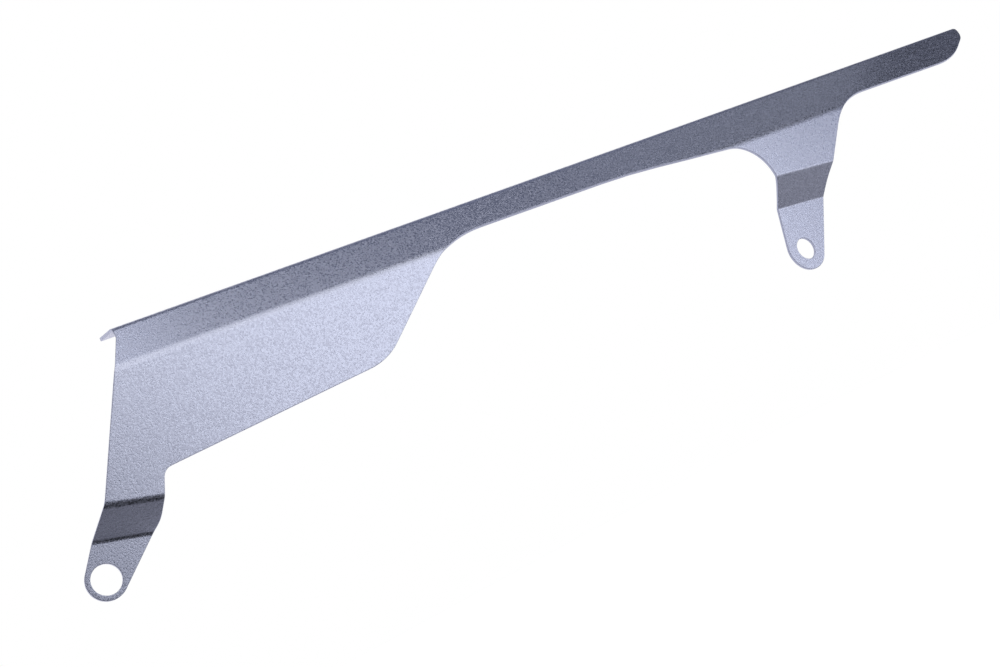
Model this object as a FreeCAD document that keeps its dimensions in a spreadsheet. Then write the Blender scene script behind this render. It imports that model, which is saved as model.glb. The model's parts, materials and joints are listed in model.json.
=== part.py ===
"""Folded sheet-metal chain guard for a motorcycle, made from one blank.

The guard stands in its mounted frame. X runs from the front end to the rear end along the
top fold, Y points inward to the chain, and Z points up. The origin is the centre of the
front mounting hole, on the outer face of the front tab.

The sheet is described by its outer face. From the bottom up it is a plate, a soft bend, a
band that leans inward, the top fold, and a flange over the chain. Two tabs step inward from
the plate through two bends each, and are parallel to it.
"""

import FreeCAD, Part
import math
import os

import Sketcher

NODE = "chain_guard"

SIZES = (
    ("thickness", 1.5, "sheet"),
    ("front_hole_diameter", 12.0, "front mounting hole"),
    ("rear_hole_diameter", 11.5, "rear mounting hole"),
    ("hole_spacing", 391.3, "from the front hole back to the rear hole"),
    ("rear_hole_height", 5.0, "rear hole above the front hole"),
    ("front_step", 11.0, "how far the front tab lies inside the plate"),
    ("rear_step", 7.0, "how far the rear tab lies inside the plate"),
    ("soft_height", 72.6, "soft bend line above the front hole, straight above it"),
    ("soft_slope", 0.75, "degrees that the soft bend line drops to the rear"),
    ("band_lean", 25.0, "degrees that the band leans inward from the plate"),
    ("fold_height", 89.6, "corner of the top fold above the front hole"),
    ("flange_width", 18.0, "flange, from the corner of the top fold"),
    ("flange_rise", 7.5, "degrees that the flange rises inward"),
    ("soft_bend_radius", 7.5, "inside of the soft bend"),
    ("fold_radius", 2.5, "inside of the top fold"),
    ("tab_bend_radius", 2.5, "inside of the four tab bends"),
    ("front_bend_slope", 15.0, "degrees that the front tab's bends drop to the rear"),
    ("front_bend_height", 15.0, "lower bend above the front hole"),
    ("front_bend_angle", 45.0, "degrees of each front tab bend"),
    ("rear_bend_slope", 5.5, "degrees that the rear tab's bends drop to the rear"),
    ("rear_bend_height", 24.0, "lower bend above the rear hole"),
    ("rear_bend_angle", 24.3, "degrees of each rear tab bend"),
    ("flange_start", 42.4, "front end of the flange, behind the front hole"),
    ("flange_corner_radius", 4.0, "front edge into the front end of the flange"),
    ("front_edge_offset", 34.2, "front edge at the soft bend, behind the front hole"),
    ("front_edge_lean", 28.7, "degrees of the front edge from upright"),
    ("front_edge_foot", 25.7, "foot of the front edge above the front hole"),
    ("front_edge_foot_radius", 20.0, "front edge into the front tab"),
    ("front_tab_radius", 8.1, "end of the front tab"),
    ("neck_offset", 27.1, "rear corner of the front tab, behind the front hole"),
    ("neck_height", 11.9, "the same corner, above the front hole"),
    ("neck_radius", 9.5, "rounding of that corner"),
    ("plate_front_offset", 34.6, "front end of the plate's lower edge"),
    ("plate_front_height", 28.4, "the same corner, above the front hole"),
    ("plate_front_radius", 5.5, "rounding of that corner"),
    ("plate_rear_offset", 142.2, "rear end of the plate's lower edge"),
    ("plate_rear_height", 33.9, "the same corner, above the front hole"),
    ("plate_rear_radius", 30.0, "rounding of that corner"),
    ("ramp_top_offset", 198.4, "where the plate's rear slope meets the strip"),
    ("ramp_top_radius", 55.0, "rounding there"),
    ("strip_rise", 5.8, "strip's lower edge above the soft bend line"),
    ("strip_knee_offset", 308.0, "where the strip starts to widen"),
    ("strip_knee_radius", 350.0, "rounding there"),
    ("bracket_front_offset", 5.6, "front corner of the rear bracket, behind the rear hole"),
    ("bracket_front_height", 59.1, "the same corner, above the rear hole"),
    ("bracket_front_radius", 22.0, "rounding of that corner"),
    ("bracket_neck_lead", 2.7, "front of the rear neck, ahead of the rear hole"),
    ("bracket_neck_height", 27.7, "the same corner, above the rear hole"),
    ("bracket_neck_radius", 30.0, "rounding of that corner"),
    ("rear_tab_radius", 11.5, "end of the rear tab"),
    ("bracket_waist_offset", 34.2, "rear of the rear neck, behind the rear hole"),
    ("bracket_waist_height", 28.5, "the same corner, above the rear hole"),
    ("bracket_waist_radius", 56.0, "rounding of that corner"),
    ("bracket_rear_offset", 72.0, "rear corner of the bracket, behind the rear hole"),
    ("bracket_rear_radius", 45.0, "rounding of that corner"),
    ("tail_offset", 589.1, "rear end, behind the front hole"),
    ("tail_sweep", 25.4, "where the tail starts to rise, ahead of the rear end"),
    ("tail_sweep_radius", 50.0, "large rounding of the tail"),
    ("tail_end_radius", 11.5, "small rounding of the tail"),
)

document = FreeCAD.newDocument("chain_guard")


def make_sizes():
    """Write the driving sizes into a sheet, one alias to a row."""
    sheet = document.addObject("Spreadsheet::Sheet", "Sizes")
    for row, (alias, value, meaning) in enumerate(SIZES, start=1):
        sheet.set("A%d" % row, alias)
        sheet.set("B%d" % row, str(value))
        sheet.set("C%d" % row, meaning)
        sheet.setAlias("B%d" % row, alias)
    document.recompute()
    return sheet


sizes = make_sizes()


def read(text):
    """The present value of an expression over the sheet."""
    value = sizes.evalExpression(text)
    return float(getattr(value, "Value", value))


def new_sketch(name, placement):
    sketch = document.addObject("Sketcher::SketchObject", name)
    sketch.setExpression("Placement", placement)
    return sketch


def bind(sketch, text, kind, *where):
    """Add a dimension to a sketch and tie it to an expression."""
    index = sketch.addConstraint(Sketcher.Constraint(kind, *where, read(text)))
    sketch.setExpression("Constraints[%d]" % index, text)


def pin(sketch, geometry, position, across, up):
    """Hold a point of a sketch at a distance from the sketch's origin."""
    bind(sketch, across, "DistanceX", -1, 1, geometry, position)
    bind(sketch, up, "DistanceY", -1, 1, geometry, position)


def join(sketch, kind, first, second):
    """Make two ends meet, each given as a geometry and one of its ends."""
    sketch.addConstraint(Sketcher.Constraint(kind, *first, *second))


def heading(angle):
    return FreeCAD.Vector(math.cos(angle), math.sin(angle), 0)


def left_of(direction):
    return FreeCAD.Vector(-direction.y, direction.x, 0)


def turn_between(before, after):
    """Signed turn from one direction to the next, positive to the left."""
    return math.atan2(before.x * after.y - before.y * after.x, before.dot(after))


def arc_through(start, end, centre, turn):
    """An arc from start to end, and the names of its two ends in that order."""
    first, last = (start, end) if turn > 0 else (end, start)
    begin = math.atan2(first.y - centre.y, first.x - centre.x)
    finish = math.atan2(last.y - centre.y, last.x - centre.x)
    circle = Part.Circle(centre, FreeCAD.Vector(0, 0, 1), start.distanceToPoint(centre))
    return Part.ArcOfCircle(circle, begin, finish), (1, 2) if turn > 0 else (2, 1)


class Corner:
    """A corner of an outline, sharp or rounded, at a pinned place."""

    def __init__(self, across, up, radius=None):
        self.across = across
        self.up = up
        self.radius = radius

    def place(self):
        return FreeCAD.Vector(read(self.across), read(self.up), 0)

    def touch(self, other, side):
        return self.place()


class End(Corner):
    """A round end about a pinned centre, with the centre to the left of the path."""

    def touch(self, other, side):
        """Where a line from the corner before (side -1) or after (side 1) touches."""
        way = self.place() - other
        reach = way.Length
        radius = read(self.radius)
        angle = math.atan2(way.y, way.x) + side * math.asin(radius / reach)
        return other + heading(angle) * math.sqrt(reach ** 2 - radius ** 2)


def closed_outline(sketch, corners):
    """Draw straight edges between the corners, with a tangent arc at each rounded one."""
    count = len(corners)
    lines = []
    spans = []
    for index, corner in enumerate(corners):
        after = corners[(index + 1) % count]
        start = corner.touch(after.place(), 1)
        finish = after.touch(corner.place(), -1)
        spans.append((start, finish))
    trims = []
    for index, corner in enumerate(corners):
        before, after = spans[index - 1], spans[index]
        arriving = (before[1] - before[0]).normalize()
        leaving = (after[1] - after[0]).normalize()
        turn = turn_between(arriving, leaving)
        if isinstance(corner, End) or corner.radius is None:
            trims.append((before[1], after[0], turn))
        else:
            trim = read(corner.radius) * math.tan(abs(turn) / 2)
            trims.append((before[1] - arriving * trim, after[0] + leaving * trim, turn))
    for index in range(count):
        start = trims[index][1]
        finish = trims[(index + 1) % count][0]
        lines.append(sketch.addGeometry(Part.LineSegment(start, finish), False))
    for index, corner in enumerate(corners):
        before, after = lines[index - 1], lines[index]
        if corner.radius is None:
            join(sketch, "Coincident", (before, 2), (after, 1))
            pin(sketch, after, 1, corner.across, corner.up)
            continue
        start, finish, turn = trims[index]
        if isinstance(corner, End):
            centre = corner.place()
            turn = 1
        else:
            side = math.copysign(read(corner.radius), turn)
            arriving = (spans[index - 1][1] - spans[index - 1][0]).normalize()
            centre = start + left_of(arriving) * side
        shape, ends = arc_through(start, finish, centre, turn)
        arc = sketch.addGeometry(shape, False)
        join(sketch, "Tangent", (before, 2), (arc, ends[0]))
        join(sketch, "Tangent", (arc, ends[1]), (after, 1))
        bind(sketch, corner.radius, "Radius", arc)
        if isinstance(corner, End):
            pin(sketch, arc, 3, corner.across, corner.up)
            continue
        point = sketch.addGeometry(Part.Point(corner.place()), True)
        pin(sketch, point, 1, corner.across, corner.up)
        sketch.addConstraint(Sketcher.Constraint("PointOnObject", point, 1, before))
        sketch.addConstraint(Sketcher.Constraint("PointOnObject", point, 1, after))


def sheet_section(sketch, corners):
    """Draw the sheet's section from the corners of its outer face, going up.

    The inner face lies one thickness to the right of the path. A corner's radius is the
    inside radius of its bend.
    """
    thickness = read("Sizes.thickness")
    points = [corner.place() for corner in corners]
    ways = [(b - a).normalize() for a, b in zip(points, points[1:])]
    turns = [turn_between(a, b) for a, b in zip(ways, ways[1:])]
    outer_arcs = []
    faces = []
    for depth in (0.0, thickness):
        ends = [(points[0] - left_of(ways[0]) * depth, None)]
        arcs = []
        for index, turn in enumerate(turns, start=1):
            inside = read(corners[index].radius)
            outer_radius = inside + (thickness if turn < 0 else 0.0)
            trim = outer_radius * math.tan(abs(turn) / 2)
            side = math.copysign(1.0, turn)
            centre = points[index] - ways[index - 1] * trim
            centre = centre + left_of(ways[index - 1]) * (side * outer_radius)
            radius = outer_radius + side * depth
            start = centre - left_of(ways[index - 1]) * (side * radius)
            finish = centre - left_of(ways[index]) * (side * radius)
            arcs.append((start, finish, centre, turn))
            ends.append((start, finish))
        ends.append((points[-1] - left_of(ways[-1]) * depth, None))
        lines = []
        for index in range(len(ends) - 1):
            start = ends[index][1] or ends[index][0]
            segment = Part.LineSegment(start, ends[index + 1][0])
            lines.append(sketch.addGeometry(segment, False))
        drawn = []
        for index, (start, finish, centre, turn) in enumerate(arcs):
            shape, names = arc_through(start, finish, centre, turn)
            arc = sketch.addGeometry(shape, False)
            join(sketch, "Tangent", (lines[index], 2), (arc, names[0]))
            join(sketch, "Tangent", (arc, names[1]), (lines[index + 1], 1))
            wide = (turn < 0) == (depth == 0.0)
            radius = corners[index + 1].radius
            bind(sketch, radius + (" + Sizes.thickness" if wide else ""), "Radius", arc)
            drawn.append(arc)
        faces.append(lines)
        if depth == 0.0:
            outer_arcs = drawn
            continue
        for outer, inner in zip(outer_arcs, drawn):
            join(sketch, "Coincident", (outer, 3), (inner, 3))
    outer, inner = faces
    pin(sketch, outer[0], 1, corners[0].across, corners[0].up)
    pin(sketch, outer[-1], 2, corners[-1].across, corners[-1].up)
    for index, corner in enumerate(corners[1:-1], start=1):
        point = sketch.addGeometry(Part.Point(corner.place()), True)
        pin(sketch, point, 1, corner.across, corner.up)
        sketch.addConstraint(Sketcher.Constraint("PointOnObject", point, 1, outer[index - 1]))
        sketch.addConstraint(Sketcher.Constraint("PointOnObject", point, 1, outer[index]))
    for end, position in ((0, 1), (-1, 2)):
        cap = sketch.addGeometry(
            Part.LineSegment(
                sketch.getPoint(outer[end], position),
                sketch.getPoint(inner[end], position),
            ),
            False,
        )
        join(sketch, "Coincident", (outer[end], position), (cap, 1))
        join(sketch, "Coincident", (inner[end], position), (cap, 2))
        sketch.addConstraint(Sketcher.Constraint("Perpendicular", cap, outer[end]))
        sketch.addConstraint(Sketcher.Constraint("Parallel", inner[end], outer[end]))


def extrude(name, sketch, length):
    """Extrude a sketch by the same length to both sides of its plane."""
    solid = document.addObject("Part::Extrusion", name)
    solid.Base = sketch
    solid.DirMode = "Normal"
    solid.Solid = True
    solid.LengthFwd = length
    solid.LengthRev = length
    return solid


def block(name, length, width, height, placement):
    solid = document.addObject("Part::Box", name)
    solid.Length = length
    solid.Width = width
    solid.Height = height
    solid.setExpression("Placement", placement)
    return solid


def combine(kind, name, base, tool):
    solid = document.addObject(kind, name)
    solid.Base = base
    solid.Tool = tool
    return solid


def fuse(name, solids):
    solid = document.addObject("Part::MultiFuse", name)
    solid.Shapes = solids
    solid.Refine = True
    return solid


# Frames, as expressions: one at the soft bend line and one at each tab's lower bend.
SOFT_FRAME = (
    "placement(vector(0; -Sizes.front_step; Sizes.soft_height);"
    " rotation(vector(0; 1; 0); Sizes.soft_slope))"
)
FRONT_BEND_FRAME = (
    "placement(vector(0; 0; Sizes.front_bend_height);"
    " rotation(vector(0; 1; 0); Sizes.front_bend_slope))"
)
REAR_BEND_FRAME = (
    "placement(vector(Sizes.hole_spacing; Sizes.rear_step - Sizes.front_step;"
    " Sizes.rear_hole_height + Sizes.rear_bend_height);"
    " rotation(vector(0; 1; 0); Sizes.rear_bend_slope))"
)
SECTION_PLANE = "rotation(vector(1; 1; 1); 120)"
SIDE_PLANE = "placement(vector(0; 0; 0); rotation(vector(1; 0; 0); 90))"

# Room beyond the part for the solids that only trim it.
MARGIN = 30.0


def folded_strip():
    """The sheet from the plate to the flange, longer and deeper than the guard."""
    lean = "Sizes.band_lean"
    sections = []
    for end, station in (("front", "-%g" % MARGIN), ("rear", "Sizes.tail_offset + %g" % MARGIN)):
        band = (
            "(Sizes.fold_height - Sizes.soft_height + (%s) * sin(Sizes.soft_slope))"
            " / cos(%s) / cos(Sizes.soft_slope)" % (station, lean)
        )
        fold_across = "%s * sin(%s)" % (band, lean)
        fold_up = "%s * cos(%s)" % (band, lean)
        sketch = new_sketch(
            "%s_section" % end,
            "%s * placement(vector(%s; 0; 0); %s)" % (SOFT_FRAME, station, SECTION_PLANE),
        )
        sheet_section(sketch, (
            Corner("0", "-Sizes.soft_height"),
            Corner("0", "0", "Sizes.soft_bend_radius"),
            Corner(fold_across, fold_up, "Sizes.fold_radius"),
            Corner(
                "%s + Sizes.flange_width * cos(Sizes.flange_rise)" % fold_across,
                "%s + Sizes.flange_width * sin(Sizes.flange_rise)" % fold_up,
            ),
        ))
        sections.append(sketch)
    strip = document.addObject("Part::Loft", "folded_strip")
    strip.Sections = sections
    strip.Solid = True
    strip.Ruled = True
    return strip


def strip_edge(offset):
    """Height of the strip's lower edge in the blank, at a place along X."""
    return "Sizes.soft_height - (%s) * tan(Sizes.soft_slope) + Sizes.strip_rise" % offset


def blank(name, placement):
    """The blank's outline as seen along Y, with room above the top fold."""
    sketch = new_sketch(name, placement)
    soft_at_front = "(Sizes.soft_height - Sizes.front_edge_offset * tan(Sizes.soft_slope))"
    top = "Sizes.fold_height + Sizes.flange_width + %g" % MARGIN
    spacing = "Sizes.hole_spacing"
    rear = "Sizes.rear_hole_height"
    knee = "Sizes.strip_knee_offset"
    bracket_end = "%s + Sizes.bracket_rear_offset" % spacing
    sweep = "Sizes.tail_offset - Sizes.tail_sweep"
    tail_centre = "Sizes.tail_offset - Sizes.tail_end_radius"
    tail_height = (
        "Sizes.soft_height - Sizes.tail_offset * sin(Sizes.soft_slope)"
        " + (Sizes.fold_height - Sizes.soft_height + Sizes.tail_offset * sin(Sizes.soft_slope))"
        " / cos(Sizes.band_lean)"
    )
    closed_outline(sketch, (
        Corner("Sizes.flange_start", top),
        Corner(
            "Sizes.flange_start",
            "%s + (Sizes.flange_start - Sizes.front_edge_offset) / tan(Sizes.front_edge_lean)"
            % soft_at_front,
            "Sizes.flange_corner_radius",
        ),
        Corner(
            "Sizes.front_edge_offset - (%s - Sizes.front_edge_foot) * tan(Sizes.front_edge_lean)"
            % soft_at_front,
            "Sizes.front_edge_foot",
            "Sizes.front_edge_foot_radius",
        ),
        End("0", "0", "Sizes.front_tab_radius"),
        Corner("Sizes.neck_offset", "Sizes.neck_height", "Sizes.neck_radius"),
        Corner(
            "Sizes.plate_front_offset",
            "Sizes.plate_front_height",
            "Sizes.plate_front_radius",
        ),
        Corner(
            "Sizes.plate_rear_offset",
            "Sizes.plate_rear_height",
            "Sizes.plate_rear_radius",
        ),
        Corner(
            "Sizes.ramp_top_offset",
            strip_edge("Sizes.ramp_top_offset"),
            "Sizes.ramp_top_radius",
        ),
        Corner(knee, strip_edge(knee), "Sizes.strip_knee_radius"),
        Corner(
            "%s + Sizes.bracket_front_offset" % spacing,
            "%s + Sizes.bracket_front_height" % rear,
            "Sizes.bracket_front_radius",
        ),
        Corner(
            "%s - Sizes.bracket_neck_lead" % spacing,
            "%s + Sizes.bracket_neck_height" % rear,
            "Sizes.bracket_neck_radius",
        ),
        End(spacing, rear, "Sizes.rear_tab_radius"),
        Corner(
            "%s + Sizes.bracket_waist_offset" % spacing,
            "%s + Sizes.bracket_waist_height" % rear,
            "Sizes.bracket_waist_radius",
        ),
        Corner(bracket_end, strip_edge(bracket_end), "Sizes.bracket_rear_radius"),
        Corner(sweep, strip_edge(sweep), "Sizes.tail_sweep_radius"),
        End(tail_centre, tail_height, "Sizes.tail_end_radius"),
        Corner("Sizes.tail_offset", top),
    ))
    return sketch


def tab_ribbon(name, frame, step, angle, reach):
    """The sheet of one tab, from the end of its upper bend down past its round end."""
    drop = "%s / tan(%s)" % (step, angle)
    bend_end = "%s + (Sizes.tab_bend_radius + Sizes.thickness) * tan(%s / 2)" % (drop, angle)
    top = "%s + Sizes.thickness" % bend_end
    sketch = new_sketch(
        "%s_section" % name,
        "%s * placement(vector(0; 0; 0); %s)" % (frame, SECTION_PLANE),
    )
    sheet_section(sketch, (
        Corner("0", "-(%s)" % reach),
        Corner("0", "0", "Sizes.tab_bend_radius"),
        Corner("-%s" % step, drop, "Sizes.tab_bend_radius"),
        Corner("-%s" % step, top),
    ))
    return extrude(name, sketch, 2 * MARGIN), top


def below_bend(name, frame, top):
    """A block over everything below a tab's upper bend, where the plate ends."""
    size = 4 * MARGIN
    corner = "placement(vector(-%g; -%g; %s - %g); rotation(vector(0; 0; 1); 0))" % (
        size / 2, size / 2, top, size
    )
    return block(name, size, size, size, "%s * %s" % (frame, corner))


def above_soft_bend():
    """A block over the band and the flange, cut off square to the middle of the bend."""
    length = read("Sizes.tail_offset") + 4 * MARGIN
    width = 6 * MARGIN
    return block(
        "above_soft_bend",
        length,
        width,
        width,
        "%s * placement(vector(0; 0; 0); rotation(vector(1; 0; 0); -Sizes.band_lean / 2))"
        " * placement(vector(-%g; -%g; 0); rotation(vector(0; 0; 1); 0))"
        % (SOFT_FRAME, 2 * MARGIN, width / 2),
    )


def lower_part(strip, upper_block):
    """The plate and the two tabs, inside the blank's outline."""
    front_tab, front_top = tab_ribbon(
        "front_tab",
        FRONT_BEND_FRAME,
        "Sizes.front_step",
        "Sizes.front_bend_angle",
        "Sizes.front_bend_height + Sizes.front_tab_radius + %g" % MARGIN,
    )
    rear_tab, rear_top = tab_ribbon(
        "rear_tab",
        REAR_BEND_FRAME,
        "Sizes.rear_step",
        "Sizes.rear_bend_angle",
        "Sizes.rear_bend_height + Sizes.rear_tab_radius + %g" % MARGIN,
    )
    beyond = fuse("beyond_plate", [
        upper_block,
        below_bend("below_front_bend", FRONT_BEND_FRAME, front_top),
        below_bend("below_rear_bend", REAR_BEND_FRAME, rear_top),
    ])
    plate = combine("Part::Cut", "plate", strip, beyond)
    sheet = fuse("plate_and_tabs", [plate, front_tab, rear_tab])
    outline = extrude("plate_outline", blank("plate_blank", SIDE_PLANE), 2 * MARGIN)
    return combine("Part::Common", "lower_part", sheet, outline)


def upper_part(strip, upper_block):
    """The band, the fold and the flange, inside the same outline leaned with the band."""
    band = combine("Part::Common", "band_and_flange", strip, upper_block)
    lean = (
        "placement(vector(0; 0; 0);"
        " rotation(vector(cos(Sizes.soft_slope); 0; -sin(Sizes.soft_slope)); -Sizes.band_lean);"
        " vector(0; -Sizes.front_step; Sizes.soft_height))"
    )
    sketch = blank("band_blank", "%s * %s" % (lean, SIDE_PLANE))
    outline = extrude("band_outline", sketch, 2 * MARGIN)
    return combine("Part::Common", "upper_part", band, outline)


def drill(name, diameter, across, up):
    """A round cutter along Y through a tab."""
    cutter = document.addObject("Part::Cylinder", name)
    cutter.setExpression("Radius", "%s / 2" % diameter)
    cutter.Height = 4 * MARGIN
    cutter.setExpression(
        "Placement",
        "placement(vector(%s; %g; %s); rotation(vector(1; 0; 0); 90))" % (across, 2 * MARGIN, up),
    )
    return cutter


def chain_guard():
    strip = folded_strip()
    upper_block = above_soft_bend()
    sheet = fuse("folded_sheet", [
        lower_part(strip, upper_block),
        upper_part(strip, upper_block),
    ])
    holes = fuse("mounting_holes", [
        drill("front_hole", "Sizes.front_hole_diameter", "0", "0"),
        drill("rear_hole", "Sizes.rear_hole_diameter", "Sizes.hole_spacing",
              "Sizes.rear_hole_height"),
    ])
    guard = combine("Part::Cut", NODE, sheet, holes)
    guard.Label = NODE
    return guard


def check_document():
    """Stop if any object failed, or any sketch has freedom or conflicts left."""
    for item in document.Objects:
        if "Invalid" in item.State or "Error" in item.State:
            raise RuntimeError("%s failed: %s" % (item.Name, item.State))
        if item.TypeId == "Sketcher::SketchObject" and item.solve() != 0:
            raise RuntimeError("%s does not solve" % item.Name)


guard = chain_guard()
document.recompute()
check_document()
shape = guard.Shape
if shape.isNull() or not shape.isValid() or len(shape.Solids) != 1:
    raise RuntimeError("the guard is not one valid solid")

os.makedirs("parts", exist_ok=True)
shape.exportStep("parts/%s.step" % guard.Label)
print("%s: %.1f mm3" % (guard.Label, shape.Volume), shape.BoundBox)
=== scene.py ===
"""Looks of a folded sheet-metal chain guard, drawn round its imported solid.

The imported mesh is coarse, so the sheet is drawn again here with finer bends, round holes and
softened cut edges. It has the same form and the same place. Lengths are in millimetres until
the mesh is made, and the frame is the part's own: X to the rear, Y inward to the chain, Z up.

The sheet is drawn flat first. A flat point has a run along the soft bend line and a rise
square to it, and a depth runs from the outer face (0) to the inner face (the thickness).
"""

import json
import math

import bmesh
import bpy
from mathutils import Euler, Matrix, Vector
from mathutils.geometry import delaunay_2d_cdt


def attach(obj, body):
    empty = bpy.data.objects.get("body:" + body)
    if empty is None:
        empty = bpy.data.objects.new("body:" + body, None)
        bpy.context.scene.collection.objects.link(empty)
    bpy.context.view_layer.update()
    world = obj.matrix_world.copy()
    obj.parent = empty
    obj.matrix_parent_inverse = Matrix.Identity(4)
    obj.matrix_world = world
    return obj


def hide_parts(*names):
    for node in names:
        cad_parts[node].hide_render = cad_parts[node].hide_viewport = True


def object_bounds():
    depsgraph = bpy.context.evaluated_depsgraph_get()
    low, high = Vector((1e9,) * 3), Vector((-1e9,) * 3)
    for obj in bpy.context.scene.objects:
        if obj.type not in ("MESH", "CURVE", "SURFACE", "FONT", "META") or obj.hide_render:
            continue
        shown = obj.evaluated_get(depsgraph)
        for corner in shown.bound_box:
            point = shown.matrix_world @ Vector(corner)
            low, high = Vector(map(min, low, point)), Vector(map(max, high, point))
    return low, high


MM = 0.001

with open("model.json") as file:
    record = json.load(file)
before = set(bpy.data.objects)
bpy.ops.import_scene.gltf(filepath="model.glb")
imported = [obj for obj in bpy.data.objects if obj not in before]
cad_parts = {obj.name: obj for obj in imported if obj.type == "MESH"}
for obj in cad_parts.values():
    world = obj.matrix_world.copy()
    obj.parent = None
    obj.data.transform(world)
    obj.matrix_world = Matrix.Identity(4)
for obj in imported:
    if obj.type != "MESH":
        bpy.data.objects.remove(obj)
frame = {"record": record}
cad_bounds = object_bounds()

# Sizes of the sheet, with the names that the part's source gives them.
THICKNESS = 1.5
FRONT_STEP = 11.0
REAR_STEP = 7.0
SOFT_HEIGHT = 72.6
SOFT_SLOPE = math.radians(0.75)
BAND_LEAN = math.radians(25.0)
FOLD_HEIGHT = 89.6
FLANGE_WIDTH = 18.0
FLANGE_RISE = math.radians(7.5)
SOFT_BEND_RADIUS = 7.5
FOLD_RADIUS = 2.5
TAB_BEND_RADIUS = 2.5
FRONT_BEND_SLOPE = math.radians(15.0)
FRONT_BEND_HEIGHT = 15.0
FRONT_BEND_ANGLE = math.radians(45.0)
REAR_BEND_SLOPE = math.radians(5.5)
REAR_BEND_HEIGHT = 24.0
REAR_BEND_ANGLE = math.radians(24.3)
FLANGE_START = 42.4
FLANGE_CORNER_RADIUS = 4.0
FRONT_EDGE_OFFSET = 34.2
FRONT_EDGE_LEAN = math.radians(28.7)
FRONT_EDGE_FOOT = 25.7
FRONT_EDGE_FOOT_RADIUS = 20.0
FRONT_TAB_RADIUS = 8.1
NECK_OFFSET = 27.1
NECK_HEIGHT = 11.9
NECK_RADIUS = 9.5
PLATE_FRONT_OFFSET = 34.6
PLATE_FRONT_HEIGHT = 28.4
PLATE_FRONT_RADIUS = 5.5
PLATE_REAR_OFFSET = 142.2
PLATE_REAR_HEIGHT = 33.9
PLATE_REAR_RADIUS = 30.0
RAMP_TOP_OFFSET = 198.4
RAMP_TOP_RADIUS = 55.0
STRIP_RISE = 5.8
STRIP_KNEE_OFFSET = 308.0
STRIP_KNEE_RADIUS = 350.0
BRACKET_FRONT_OFFSET = 5.6
BRACKET_FRONT_HEIGHT = 59.1
BRACKET_FRONT_RADIUS = 22.0
BRACKET_NECK_LEAD = 2.7
BRACKET_NECK_HEIGHT = 27.7
BRACKET_NECK_RADIUS = 30.0
REAR_TAB_RADIUS = 11.5
BRACKET_WAIST_OFFSET = 34.2
BRACKET_WAIST_HEIGHT = 28.5
BRACKET_WAIST_RADIUS = 56.0
BRACKET_REAR_OFFSET = 72.0
BRACKET_REAR_RADIUS = 45.0
TAIL_OFFSET = 589.1
TAIL_SWEEP = 25.4
TAIL_SWEEP_RADIUS = 50.0
TAIL_END_RADIUS = 11.5

# The two mounting holes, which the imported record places.
MOUNTS = {mount["name"]: mount for mount in frame["record"]["mounts"]}
HOLE_SPACING = MOUNTS["rear_hole"]["pos_m"][0] / MM
REAR_HOLE_HEIGHT = MOUNTS["rear_hole"]["pos_m"][2] / MM

# How finely the sheet is drawn. Uprights are mesh lines square to the soft bend line, and rows
# are mesh lines along a bend. All of them run on beyond the outline.
EDGE_ROUNDING = 0.2
SHARP_CORNER_ROUNDING = 0.8
ARC_STEP = math.radians(4.5)
HOLE_STEPS = 72
UPRIGHT_SPACING = 8.0
UPRIGHT_START = -11.3
SOFT_BEND_ROWS = 8
FOLD_ROWS = 12
TAB_BEND_ROWS = 10
TAB_ROW_REACH = 45.0
BEYOND_OUTLINE = 12.0
RIM_ANGLES = [math.radians(angle) for angle in (0, 30, 60, 90)]

# Lines that cross by less than the first are parallel, and points nearer than the second merge.
PARALLEL = 1e-12
MERGE_DISTANCE = 1e-5

# The powder coat. Its colour, roughness and bump all follow one noise, the grain, between the
# two values of it that are called low and high. The depth of the bump is in metres.
GRAIN_SCALE = 1300.0
GRAIN_DETAIL = 4.0
GRAIN_FINENESS = 0.65
GRAIN_LOW = 0.40
GRAIN_HIGH = 0.60
GRAIN_BUMP = 0.5
GRAIN_DEPTH = 0.00017
COAT_LOW = (0.28, 0.30, 0.38)
COAT_HIGH = (0.36, 0.38, 0.48)
COAT_METALLIC = 0.9
COAT_ROUGHNESS_LOW = 0.22
COAT_ROUGHNESS_HIGH = 0.50

# The floor, in metres. What the coat mirrors of it gets brighter inward and to the rear,
# between the places given.
FLOOR_HALF = 3.0
FLOOR_LEVEL = -0.16
FLOOR_COLOUR = (0.8, 0.8, 0.82, 1.0)
FLOOR_GLOW_INWARD = (-0.087, 0.08)
FLOOR_GLOW_REARWARD = (0.2, 0.6)
FLOOR_REARWARD_STRENGTH = 0.5

# The white table that the guard lies on in the photograph. Its up is square to it, away from
# it. The world turns from the room into the table between two values of a direction's part
# along that up.
TABLE_UP = (0.0, -0.986, 0.168)
TABLE_EDGE = (-0.25, -0.45)
TABLE_COLOUR = (0.96, 0.94, 1.0, 1.0)
TABLE_STRENGTH = 1.45

# The room on the guard's outer side, from straight down (0) to straight up (1). It gets
# brighter to the rear, between two values of a direction's X.
ROOM_COLOURS = (
    (0.0, (0.44, 0.49, 0.66)),
    (0.5, (0.18, 0.20, 0.28)),
    (0.66, (0.09, 0.10, 0.14)),
    (0.74, (0.01, 0.012, 0.02)),
    (0.83, (0.01, 0.012, 0.02)),
    (0.89, (0.18, 0.195, 0.265)),
)
ROOM_GLOW_REARWARD = (0.35, 0.60)
ROOM_REARWARD_STRENGTH = 2.2

WHITE = (1.0, 1.0, 1.0, 1.0)

# Watts per square metre of a lamp that make it look as bright as a white world of strength 1.
WATTS_FOR_BRIGHTNESS = 4.0

# How far ahead of the flange's front corner and of the rear hole two of the lamps aim.
TOP_LAMP_LEAD = 20.0
REAR_LAMP_LEAD = 10.0

# The view of the photograph.
CAMERA_PLACE = (-142.55, -546.89, -53.51)
CAMERA_RIGHT = (0.77929, -0.4264, -0.45923)
CAMERA_UP = (0.3321, -0.34044, 0.87966)
CAMERA_LENS = 52.17
CAMERA_SENSOR = 36.0


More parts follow.
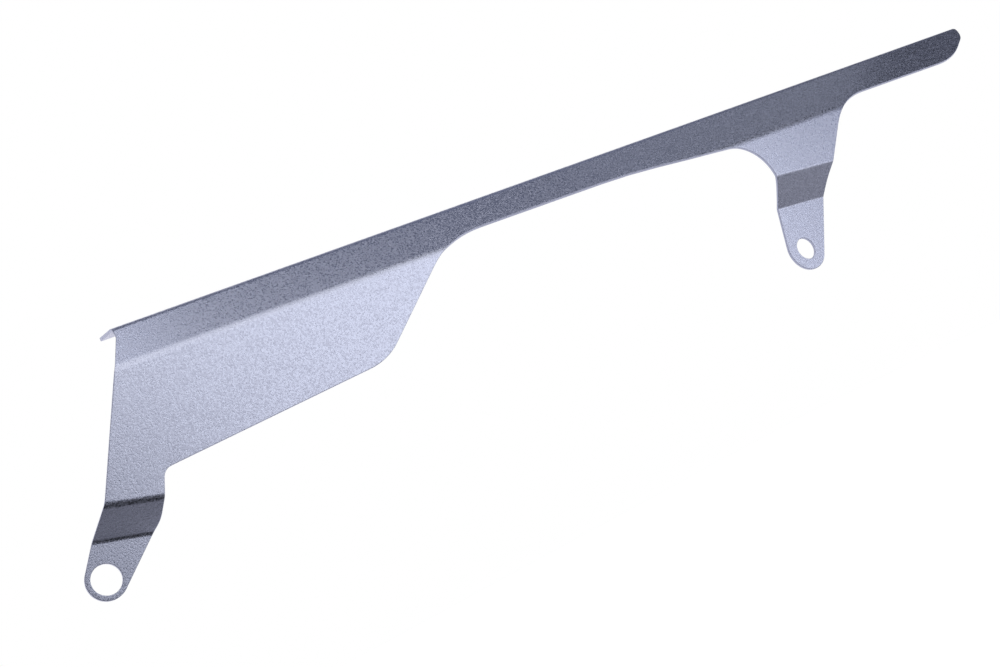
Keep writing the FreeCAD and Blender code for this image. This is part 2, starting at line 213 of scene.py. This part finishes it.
def flat_point(x, z):
    """A flat point from a place in side view, both as the plate has them."""
    rise = z - SOFT_HEIGHT
    return Vector((
        x * math.cos(SOFT_SLOPE) - rise * math.sin(SOFT_SLOPE),
        x * math.sin(SOFT_SLOPE) + rise * math.cos(SOFT_SLOPE),
    ))


def side_place(run, rise):
    """The place in side view of a flat point of the plate or a tab."""
    x = run * math.cos(SOFT_SLOPE) + rise * math.sin(SOFT_SLOPE)
    z = SOFT_HEIGHT - run * math.sin(SOFT_SLOPE) + rise * math.cos(SOFT_SLOPE)
    return x, z


def band_width(run):
    """Width of the leaning band, from the soft bend line to the corner of the fold."""
    up = FOLD_HEIGHT - SOFT_HEIGHT + run * math.sin(SOFT_SLOPE)
    return up / math.cos(BAND_LEAN) / math.cos(SOFT_SLOPE)


class TabBends:
    """The two bends by which a tab steps inward from the plate."""

    def __init__(self, x, z, slope, step, angle):
        self.x = x
        self.z = z
        self.slope = slope
        self.step = step
        self.angle = angle
        self.drop = step / math.tan(angle)

    def height(self, x, z):
        """Distance above the lower bend, square to it."""
        return (z - self.z) * math.cos(self.slope) + (x - self.x) * math.sin(self.slope)

    def inward(self, height, depth):
        """Place across the sheet at a height above the lower bend."""
        half = math.tan(self.angle / 2)
        low, high = depth * half, self.drop + depth * half
        low_radius = TAB_BEND_RADIUS + depth
        high_radius = TAB_BEND_RADIUS + THICKNESS - depth
        low_trim, high_trim = low_radius * half, high_radius * half
        tab = self.step - FRONT_STEP + depth
        plate = depth - FRONT_STEP
        if height < low - low_trim:
            return tab
        if height < low + low_trim * math.cos(self.angle):
            beyond = height - low + low_trim
            return tab - low_radius + math.sqrt(low_radius ** 2 - beyond ** 2)
        if height < high - high_trim * math.cos(self.angle):
            return tab - (height - low) * math.tan(self.angle)
        if height < high + high_trim:
            short = high + high_trim - height
            return plate + high_radius - math.sqrt(high_radius ** 2 - short ** 2)
        return plate

    def rows(self, reach):
        """Lines across both bends, as pairs of flat points."""
        half = math.tan(self.angle / 2)
        wide = (TAB_BEND_RADIUS + THICKNESS) * half
        narrow = TAB_BEND_RADIUS * half
        low_end = THICKNESS * half + wide * math.cos(self.angle)
        high_start = self.drop - wide * math.cos(self.angle)
        along = Vector((math.cos(self.slope), -math.sin(self.slope)))
        up = Vector((math.sin(self.slope), math.cos(self.slope)))
        corner = Vector((self.x, self.z))
        lines = []
        for start, end in ((-narrow, low_end), (high_start, self.drop + wide)):
            for row in range(TAB_BEND_ROWS + 1):
                height = start + (end - start) * row / TAB_BEND_ROWS
                middle = corner + up * height
                ends = middle - along * reach, middle + along * reach
                lines.append(tuple(flat_point(*end_place) for end_place in ends))
        return lines


FRONT_BENDS = TabBends(
    0.0, FRONT_BEND_HEIGHT, FRONT_BEND_SLOPE, FRONT_STEP, FRONT_BEND_ANGLE
)
REAR_BENDS = TabBends(
    HOLE_SPACING,
    REAR_HOLE_HEIGHT + REAR_BEND_HEIGHT,
    REAR_BEND_SLOPE,
    REAR_STEP,
    REAR_BEND_ANGLE,
)

# A place along X that is behind the front tab and ahead of the rear one.
BETWEEN_TABS = 250.0

# How far each long bend reaches on both sides of its line, and the turn of the fold.
SOFT_TRIM = (SOFT_BEND_RADIUS + THICKNESS) * math.tan(BAND_LEAN / 2)
FOLD_TURN = math.pi / 2 - FLANGE_RISE - BAND_LEAN
FOLD_TRIM = (FOLD_RADIUS + THICKNESS) * math.tan(FOLD_TURN / 2)


def toward(angle):
    """Direction in the section, at an angle inward from straight up."""
    return Vector((math.sin(angle), math.cos(angle)))


def across(angle):
    """Direction through the sheet, from its outer face in, for a sheet that leans so."""
    return Vector((math.cos(angle), -math.sin(angle)))


def section_place(run, rise, depth):
    """Place in the section square to the soft bend line: inward, and up from that line."""
    soft_line = Vector((-FRONT_STEP, 0.0))
    if rise < SOFT_TRIM:
        radius = SOFT_BEND_RADIUS + THICKNESS
        lean = BAND_LEAN * (rise + SOFT_TRIM) / (2 * SOFT_TRIM)
        centre = soft_line + Vector((radius, -SOFT_TRIM))
        return centre - across(lean) * (radius - depth)
    fold = band_width(run)
    if rise < fold - FOLD_TRIM:
        return soft_line + toward(BAND_LEAN) * rise + across(BAND_LEAN) * depth
    if rise < fold + FOLD_TRIM:
        radius = FOLD_RADIUS + THICKNESS
        start = soft_line + toward(BAND_LEAN) * (fold - FOLD_TRIM)
        centre = start + across(BAND_LEAN) * radius
        lean = BAND_LEAN + FOLD_TURN * (rise - fold + FOLD_TRIM) / (2 * FOLD_TRIM)
        return centre - across(lean) * (radius - depth)
    corner = soft_line + toward(BAND_LEAN) * fold
    flange = BAND_LEAN + FOLD_TURN
    return corner + toward(flange) * (rise - fold) + across(flange) * depth


def folded(flat, depth):
    """A flat point's place in the folded sheet."""
    run, rise = flat
    if rise < -SOFT_TRIM:
        x, z = side_place(run, rise)
        bends = FRONT_BENDS if x < BETWEEN_TABS else REAR_BENDS
        return Vector((x, bends.inward(bends.height(x, z), depth), z))
    inward, up = section_place(run, rise, depth)
    x, z = side_place(run, up)
    return Vector((x, inward, z))


def left_of(direction):
    """The direction a quarter turn to the left."""
    return Vector((-direction.y, direction.x))


def turn_between(before, after):
    """Signed turn from one direction to the next, positive to the left."""
    return math.atan2(before.x * after.y - before.y * after.x, before.dot(after))


def arc_samples(centre, start, turn):
    """Points and outward directions along an arc of an outline with its metal on the left."""
    steps = max(2, math.ceil(abs(turn) / ARC_STEP))
    spoke = start - centre
    samples = []
    for step in range(steps + 1):
        angle = turn * step / steps
        turned = spoke * math.cos(angle) + left_of(spoke) * math.sin(angle)
        samples.append((centre + turned, turned.normalized() * math.copysign(1.0, turn)))
    return samples


class Corner:
    """A rounded corner of the flat outline, or a round end about its own centre."""

    def __init__(self, x, z, radius=SHARP_CORNER_ROUNDING, is_end=False):
        self.place = flat_point(x, z)
        self.radius = radius
        self.is_end = is_end

    def touch(self, other, side):
        """Where a line from the corner before (side -1) or after (side 1) touches."""
        if not self.is_end:
            return self.place
        way = self.place - other
        angle = math.atan2(way.y, way.x) + side * math.asin(self.radius / way.length)
        reach = math.sqrt(way.length ** 2 - self.radius ** 2)
        return other + Vector((math.cos(angle), math.sin(angle))) * reach


def outline_samples(corners):
    """Points and outward directions round the outline, each corner an arc."""
    samples = []
    for index, corner in enumerate(corners):
        before = corners[index - 1]
        after = corners[(index + 1) % len(corners)]
        first, last = corner.touch(before.place, -1), corner.touch(after.place, 1)
        arriving = (first - before.touch(corner.place, 1)).normalized()
        leaving = (after.touch(corner.place, -1) - last).normalized()
        turn = turn_between(arriving, leaving)
        centre = corner.place
        if not corner.is_end:
            first = first - arriving * (corner.radius * math.tan(abs(turn) / 2))
            centre = first + left_of(arriving) * math.copysign(corner.radius, turn)
        samples += arc_samples(centre, first, turn)
    return samples


def strip_edge(x):
    """Height of the strip's lower edge, in side view of the flat sheet."""
    return SOFT_HEIGHT - x * math.tan(SOFT_SLOPE) + STRIP_RISE


def flange_corner(x):
    """Corner of the flange's free edge at a place along X."""
    slope = math.sin(SOFT_SLOPE)
    at_start = band_width(0.0) + FLANGE_WIDTH
    growth = (band_width(1.0) - band_width(0.0)) * slope
    run = (x - at_start * slope) / (math.cos(SOFT_SLOPE) + growth)
    return Corner(*side_place(run, band_width(run) + FLANGE_WIDTH))


def guard_corners():
    """Corners of the flat outline, down the front, along the bottom and up the tail."""
    soft_at_front = SOFT_HEIGHT - FRONT_EDGE_OFFSET * math.tan(SOFT_SLOPE)
    front_top = soft_at_front + (FLANGE_START - FRONT_EDGE_OFFSET) / math.tan(FRONT_EDGE_LEAN)
    front_reach = (soft_at_front - FRONT_EDGE_FOOT) * math.tan(FRONT_EDGE_LEAN)
    hole, lift = HOLE_SPACING, REAR_HOLE_HEIGHT
    bracket_end = HOLE_SPACING + BRACKET_REAR_OFFSET
    sweep = TAIL_OFFSET - TAIL_SWEEP
    tail_drop = TAIL_OFFSET * math.sin(SOFT_SLOPE)
    tail_width = (FOLD_HEIGHT - SOFT_HEIGHT + tail_drop) / math.cos(BAND_LEAN)
    tail_height = SOFT_HEIGHT - tail_drop + tail_width
    return [
        flange_corner(FLANGE_START),
        Corner(FLANGE_START, front_top, FLANGE_CORNER_RADIUS),
        Corner(FRONT_EDGE_OFFSET - front_reach, FRONT_EDGE_FOOT, FRONT_EDGE_FOOT_RADIUS),
        Corner(0.0, 0.0, FRONT_TAB_RADIUS, is_end=True),
        Corner(NECK_OFFSET, NECK_HEIGHT, NECK_RADIUS),
        Corner(PLATE_FRONT_OFFSET, PLATE_FRONT_HEIGHT, PLATE_FRONT_RADIUS),
        Corner(PLATE_REAR_OFFSET, PLATE_REAR_HEIGHT, PLATE_REAR_RADIUS),
        Corner(RAMP_TOP_OFFSET, strip_edge(RAMP_TOP_OFFSET), RAMP_TOP_RADIUS),
        Corner(STRIP_KNEE_OFFSET, strip_edge(STRIP_KNEE_OFFSET), STRIP_KNEE_RADIUS),
        Corner(hole + BRACKET_FRONT_OFFSET, lift + BRACKET_FRONT_HEIGHT, BRACKET_FRONT_RADIUS),
        Corner(hole - BRACKET_NECK_LEAD, lift + BRACKET_NECK_HEIGHT, BRACKET_NECK_RADIUS),
        Corner(hole, lift, REAR_TAB_RADIUS, is_end=True),
        Corner(hole + BRACKET_WAIST_OFFSET, lift + BRACKET_WAIST_HEIGHT, BRACKET_WAIST_RADIUS),
        Corner(bracket_end, strip_edge(bracket_end), BRACKET_REAR_RADIUS),
        Corner(sweep, strip_edge(sweep), TAIL_SWEEP_RADIUS),
        Corner(TAIL_OFFSET - TAIL_END_RADIUS, tail_height, TAIL_END_RADIUS, is_end=True),
        flange_corner(TAIL_OFFSET),
    ]


def hole_samples(mount):
    """Points round a mounting hole of the record, with the metal outside it."""
    x, _, z = (value / MM for value in mount["pos_m"])
    radius = mount["dims"]["r_mm"]
    centre = flat_point(x, z)
    samples = []
    for step in range(HOLE_STEPS):
        angle = -math.tau * (step + 0.5) / HOLE_STEPS
        spoke = Vector((math.cos(angle), math.sin(angle)))
        samples.append((centre + spoke * radius, -spoke))
    return samples


def mesh_lines(low, high):
    """Lines that the faces are divided by, as pairs of flat points beyond the outline."""
    lines = FRONT_BENDS.rows(TAB_ROW_REACH) + REAR_BENDS.rows(TAB_ROW_REACH)
    run = UPRIGHT_START
    while run < high.x:
        lines.append((Vector((run, low.y)), Vector((run, high.y))))
        run += UPRIGHT_SPACING
    for row in range(SOFT_BEND_ROWS + 1):
        rise = SOFT_TRIM * (2 * row / SOFT_BEND_ROWS - 1)
        lines.append((Vector((low.x, rise)), Vector((high.x, rise))))
    for row in range(FOLD_ROWS + 1):
        rise = FOLD_TRIM * (2 * row / FOLD_ROWS - 1)
        lines.append(tuple(Vector((run, band_width(run) + rise)) for run in (low.x, high.x)))
    return lines


def crossing(line, start, end):
    """How far along the line, and along the side from start to end, the two cross."""
    way = line[1] - line[0]
    side = end - start
    gap = start - line[0]
    denominator = way.x * side.y - way.y * side.x
    if abs(denominator) < PARALLEL:
        return None
    along_line = (gap.x * side.y - gap.y * side.x) / denominator
    along_side = (gap.x * way.y - gap.y * way.x) / denominator
    if 0 <= along_line <= 1 and 0 <= along_side < 1:
        return along_line, along_side
    return None


def divide_loops(loops, lines):
    """Give the loops a sample at each crossing, and return them with the lines' stretches.

    A stretch is a pair of samples, each named by its loop and its place in it.
    """
    added = {}
    stretches = []
    for line in lines:
        hits = []
        for which, loop in enumerate(loops):
            for index, (start, _) in enumerate(loop):
                found = crossing(line, start, loop[(index + 1) % len(loop)][0])
                if found:
                    hits.append((found[0], which, index, found[1]))
        hits.sort()
        for first, second in zip(hits[::2], hits[1::2]):
            stretches.append((first[1:], second[1:]))
            for _, which, index, share in (first, second):
                added.setdefault((which, index), set()).add(share)
    divided = []
    places = {}
    for which, loop in enumerate(loops):
        samples = []
        for index, (start, out) in enumerate(loop):
            end, end_out = loop[(index + 1) % len(loop)]
            for share in sorted({0.0} | added.get((which, index), set())):
                places[which, index, share] = len(samples)
                samples.append((start.lerp(end, share), out.lerp(end_out, share).normalized()))
        divided.append(samples)
    named = [[(end[0], places[end]) for end in stretch] for stretch in stretches]
    return divided, named


def inside(point, loops):
    """Whether a flat point is on the metal, by counting crossings to one side."""
    count = 0
    for loop in loops:
        for index, (start, _) in enumerate(loop):
            end = loop[(index + 1) % len(loop)][0]
            if (start.y > point.y) != (end.y > point.y):
                share = (point.y - start.y) / (end.y - start.y)
                count += start.x + share * (end.x - start.x) > point.x
    return count % 2 == 1


def rim_steps():
    """How far out and how deep each row of the rounded cut edge lies."""
    steps = []
    for angle in RIM_ANGLES:
        steps.append((EDGE_ROUNDING * math.sin(angle), EDGE_ROUNDING * (1 - math.cos(angle))))
    return steps + [(out, THICKNESS - depth) for out, depth in reversed(steps)]


def sheet_loops():
    """The outline and the holes inside their rounded edges, and the lines' stretches."""
    outline = outline_samples(guard_corners())
    holes = [hole_samples(mount) for mount in MOUNTS.values()]
    loops = []
    for loop in [outline] + holes:
        loops.append([(point - out * EDGE_ROUNDING, out) for point, out in loop])
    beyond = Vector((BEYOND_OUTLINE, BEYOND_OUTLINE))
    low = Vector(min(point[axis] for point, _ in outline) for axis in range(2)) - beyond
    high = Vector(max(point[axis] for point, _ in outline) for axis in range(2)) + beyond
    return divide_loops(loops, mesh_lines(low, high))


def flat_faces(loops, stretches):
    """Points of the flat sheet, the loop samples they come from, and its faces of metal."""
    flat = []
    edges = []
    firsts = []
    for loop in loops:
        first = len(flat)
        firsts.append(first)
        flat += [point for point, _ in loop]
        edges += [(first + i, first + (i + 1) % len(loop)) for i in range(len(loop))]
    for (loop_a, a), (loop_b, b) in stretches:
        edges.append((firsts[loop_a] + a, firsts[loop_b] + b))
    points, _, faces, sources, _, _ = delaunay_2d_cdt(flat, edges, [], 1, MERGE_DISTANCE)
    metal = []
    for face in faces:
        middle = sum((points[i] for i in face), Vector((0.0, 0.0))) / len(face)
        if inside(middle, loops):
            metal.append(face)
    return points, sources, metal


def sheet_mesh(name):
    """The folded sheet as one closed mesh."""
    loops, stretches = sheet_loops()
    points, sources, faces = flat_faces(loops, stretches)
    sheet = bmesh.new()
    steps = rim_steps()
    rims = []
    for loop in loops:
        for point, out in loop:
            rims.append([
                sheet.verts.new(folded(point + out * far, depth) * MM) for far, depth in steps
            ])
    outer, inner = [], []
    for point, source in zip(points, sources):
        if source:
            outer.append(rims[source[0]][0])
            inner.append(rims[source[0]][-1])
        else:
            outer.append(sheet.verts.new(folded(point, 0.0) * MM))
            inner.append(sheet.verts.new(folded(point, THICKNESS) * MM))
    for face in faces:
        sheet.faces.new([outer[i] for i in face])
        sheet.faces.new([inner[i] for i in reversed(face)])
    first = 0
    for loop in loops:
        for index in range(len(loop)):
            here, following = rims[first + index], rims[first + (index + 1) % len(loop)]
            for row in range(len(steps) - 1):
                sheet.faces.new((here[row], here[row + 1], following[row + 1], following[row]))
        first += len(loop)
    loose = [vertex for vertex in sheet.verts if not vertex.link_faces]
    bmesh.ops.delete(sheet, geom=loose, context="VERTS")
    bmesh.ops.recalc_face_normals(sheet, faces=sheet.faces)
    mesh = bpy.data.meshes.new(name)
    sheet.to_mesh(mesh)
    sheet.free()
    mesh.shade_smooth()
    return mesh


def add_object(name, data):
    """A new object in the scene."""
    item = bpy.data.objects.new(name, data)
    bpy.context.scene.collection.objects.link(item)
    return item


class Nodes:
    """A node tree, with short calls to add nodes, set their sockets and join them."""

    def __init__(self, owner):
        owner.use_nodes = True
        self.tree = owner.node_tree
        self.tree.nodes.clear()

    def add(self, kind, settings=None, **sockets):
        """A new node, each named socket joined to another node's output or set to a value."""
        node = self.tree.nodes.new(kind)
        for name, value in (settings or {}).items():
            setattr(node, name, value)
        for name, value in sockets.items():
            socket = node.inputs[name.replace("_", " ")]
            if isinstance(value, bpy.types.NodeSocket):
                self.tree.links.new(value, socket)
            else:
                socket.default_value = value
        return node


def larger(nodes, first, second):
    """The larger of two node outputs."""
    node = nodes.add("ShaderNodeMath", {"operation": "MAXIMUM"})
    nodes.tree.links.new(first, node.inputs[0])
    nodes.tree.links.new(second, node.inputs[1])
    return node.outputs["Value"]


def fade(nodes, value, start, end, low=0.0, high=1.0):
    """A value that goes from low to high while another goes from start to end."""
    node = nodes.add(
        "ShaderNodeMapRange", Value=value, From_Min=start, From_Max=end, To_Min=low, To_Max=high
    )
    return node.outputs["Result"]


def mixed(nodes, share, first, second):
    """A mix of two shaders, from the first alone (share 0) to the second alone (1)."""
    node = nodes.add("ShaderNodeMixShader", Fac=share)
    nodes.tree.links.new(first, node.inputs[1])
    nodes.tree.links.new(second, node.inputs[2])
    return node.outputs["Shader"]


def add_ramp(nodes, factor, stops):
    """A colour ramp through stops of a position and a colour."""
    node = nodes.add("ShaderNodeValToRGB", Fac=factor)
    elements = node.color_ramp.elements
    for index, (position, colour) in enumerate(stops):
        element = elements[index] if index < 2 else elements.new(position)
        element.position = position
        element.color = (*colour, 1.0)
    return node.outputs["Color"]


def powder_coat():
    """Metallic grey powder coat with a fine grain."""
    material = bpy.data.materials.new("powder_coat")
    nodes = Nodes(material)
    place = nodes.add("ShaderNodeTexCoord").outputs["Object"]
    grain = nodes.add(
        "ShaderNodeTexNoise",
        Vector=place,
        Scale=GRAIN_SCALE,
        Detail=GRAIN_DETAIL,
        Roughness=GRAIN_FINENESS,
    ).outputs["Fac"]
    colour = add_ramp(nodes, grain, ((GRAIN_LOW, COAT_LOW), (GRAIN_HIGH, COAT_HIGH)))
    roughness = fade(
        nodes, grain, GRAIN_LOW, GRAIN_HIGH, COAT_ROUGHNESS_LOW, COAT_ROUGHNESS_HIGH
    )
    bump = nodes.add("ShaderNodeBump", Height=grain, Strength=GRAIN_BUMP, Distance=GRAIN_DEPTH)
    surface = nodes.add(
        "ShaderNodeBsdfPrincipled",
        Base_Color=colour,
        Metallic=COAT_METALLIC,
        Roughness=roughness,
        Normal=bump.outputs["Normal"],
    )
    nodes.add("ShaderNodeOutputMaterial", Surface=surface.outputs["BSDF"])
    return material


def pale_floor():
    """White to look at. In the gloss it is bright behind the guard, and less so to the rear."""
    material = bpy.data.materials.new("pale_floor")
    nodes = Nodes(material)
    path = nodes.add("ShaderNodeLightPath").outputs
    place = nodes.add("ShaderNodeTexCoord").outputs["Object"]
    place = nodes.add("ShaderNodeSeparateXYZ", Vector=place).outputs
    matt = nodes.add("ShaderNodeBsdfDiffuse", Color=FLOOR_COLOUR)
    seen = larger(nodes, path["Is Camera Ray"], path["Is Transmission Ray"])
    white = nodes.add("ShaderNodeEmission", Color=WHITE, Strength=seen)
    both = nodes.add("ShaderNodeAddShader")
    nodes.tree.links.new(matt.outputs["BSDF"], both.inputs[0])
    nodes.tree.links.new(white.outputs["Emission"], both.inputs[1])
    glossy = larger(
        nodes,
        fade(nodes, place["Y"], *FLOOR_GLOW_INWARD, high=TABLE_STRENGTH),
        fade(nodes, place["X"], *FLOOR_GLOW_REARWARD, high=FLOOR_REARWARD_STRENGTH),
    )
    mirrored = nodes.add("ShaderNodeEmission", Color=TABLE_COLOUR, Strength=glossy)
    surface = mixed(
        nodes, path["Is Glossy Ray"], both.outputs["Shader"], mirrored.outputs["Emission"]
    )
    nodes.add("ShaderNodeOutputMaterial", Surface=surface)
    return material


def add_guard():
    """The guard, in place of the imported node."""
    mesh = sheet_mesh("guard_sheet")
    guard = add_object("guard_sheet", mesh)
    mesh.materials.append(powder_coat())
    guard.modifiers.new("face_weighted_normals", "WEIGHTED_NORMAL")
    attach(guard, "root")
    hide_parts("chain_guard")


def add_floor():
    """The floor, a square below the guard."""
    mesh = bpy.data.meshes.new("floor")
    signs = ((-1, -1), (1, -1), (1, 1), (-1, 1))
    corners = [(x * FLOOR_HALF, y * FLOOR_HALF, FLOOR_LEVEL) for x, y in signs]
    mesh.from_pydata(corners, [], [(0, 1, 2, 3)])
    mesh.materials.append(pale_floor())
    add_object("floor", mesh)


def add_lamp(name, target, azimuth, elevation, distance, size, roll, brightness, colour):
    """A soft rectangular lamp, seen from its target at an azimuth from -Y toward +X.

    The angles are in degrees, the distance and the size in metres.
    """
    lamp = bpy.data.lights.new(name, "AREA")
    lamp.shape = "RECTANGLE"
    lamp.size, lamp.size_y = size
    lamp.energy = brightness * WATTS_FOR_BRIGHTNESS * lamp.size * lamp.size_y
    lamp.color = colour
    item = add_object(name, lamp)
    azimuth, elevation = math.radians(azimuth), math.radians(elevation)
    way = Vector((
        math.cos(elevation) * math.sin(azimuth),
        -math.cos(elevation) * math.cos(azimuth),
        math.sin(elevation),
    ))
    turned = way.to_track_quat("Z", "Y") @ Euler((0.0, 0.0, math.radians(roll))).to_quaternion()
    item.location = target + way * distance
    item.rotation_euler = turned.to_euler()
    item.visible_camera = False


def add_lamps():
    """A wide key lamp over the whole guard, and two small near ones for the leaning band."""
    middle = (cad_bounds[0] + cad_bounds[1]) / 2
    inward = -FRONT_STEP / 2
    band_front = Vector((FLANGE_START - TOP_LAMP_LEAD, inward, FOLD_HEIGHT)) * MM
    band_rear = Vector((HOLE_SPACING - REAR_LAMP_LEAD, inward, FOLD_HEIGHT)) * MM
    add_lamp(
        "key_lamp",
        target=middle,
        azimuth=14.5,
        elevation=22.6,
        distance=0.81,
        size=(1.6, 0.63),
        roll=-50.5,
        brightness=1.92,
        colour=(1.0, 0.98, 0.94),
    )
    add_lamp(
        "top_lamp",
        target=band_front,
        azimuth=38.0,
        elevation=57.0,
        distance=0.2,
        size=(0.065, 0.065),
        roll=0.0,
        brightness=1.15,
        colour=(0.98, 0.98, 1.0),
    )
    add_lamp(
        "rear_lamp",
        target=band_rear,
        azimuth=62.7,
        elevation=41.1,
        distance=0.19,
        size=(0.2, 0.05),
        roll=-52.0,
        brightness=0.30,
        colour=(0.94, 0.96, 1.0),
    )


def set_world():
    """Pale on the guard's inner side, as from a table, and a dim cool room on the outer side."""
    world = bpy.data.worlds.new("studio")
    bpy.context.scene.world = world
    nodes = Nodes(world)
    way = nodes.add("ShaderNodeTexCoord").outputs["Generated"]
    rise = nodes.add("ShaderNodeVectorMath", {"operation": "DOT_PRODUCT"})
    nodes.tree.links.new(way, rise.inputs[0])
    rise.inputs[1].default_value = TABLE_UP
    parts = nodes.add("ShaderNodeSeparateXYZ", Vector=way).outputs
    colour = add_ramp(nodes, fade(nodes, parts["Z"], -1.0, 1.0), ROOM_COLOURS)
    strength = fade(nodes, parts["X"], *ROOM_GLOW_REARWARD, 1.0, ROOM_REARWARD_STRENGTH)
    room = nodes.add("ShaderNodeBackground", Color=colour, Strength=strength)
    table = nodes.add("ShaderNodeBackground", Color=TABLE_COLOUR, Strength=TABLE_STRENGTH)
    white = nodes.add("ShaderNodeBackground", Color=WHITE, Strength=1.0)
    studio = mixed(
        nodes,
        fade(nodes, rise.outputs["Value"], *TABLE_EDGE),
        room.outputs["Background"],
        table.outputs["Background"],
    )
    path = nodes.add("ShaderNodeLightPath").outputs
    seen = larger(nodes, path["Is Camera Ray"], path["Is Transmission Ray"])
    surface = mixed(nodes, seen, studio, white.outputs["Background"])
    nodes.add("ShaderNodeOutputWorld", Surface=surface)


def add_camera():
    """The camera at the photograph's place, looking as it looks."""
    camera = bpy.data.cameras.new("camera")
    camera.lens = CAMERA_LENS
    camera.sensor_width = CAMERA_SENSOR
    item = add_object("camera", camera)
    right = Vector(CAMERA_RIGHT).normalized()
    back = right.cross(Vector(CAMERA_UP)).normalized()
    up = back.cross(right)
    matrix = item.matrix_world.copy()
    for row in range(3):
        matrix[row] = (right[row], up[row], back[row], CAMERA_PLACE[row] * MM)
    item.matrix_world = matrix
    bpy.context.scene.camera = item


add_guard()
add_floor()
add_lamps()
set_world()
add_camera()
bpy.context.scene.view_settings.view_transform = "Standard"
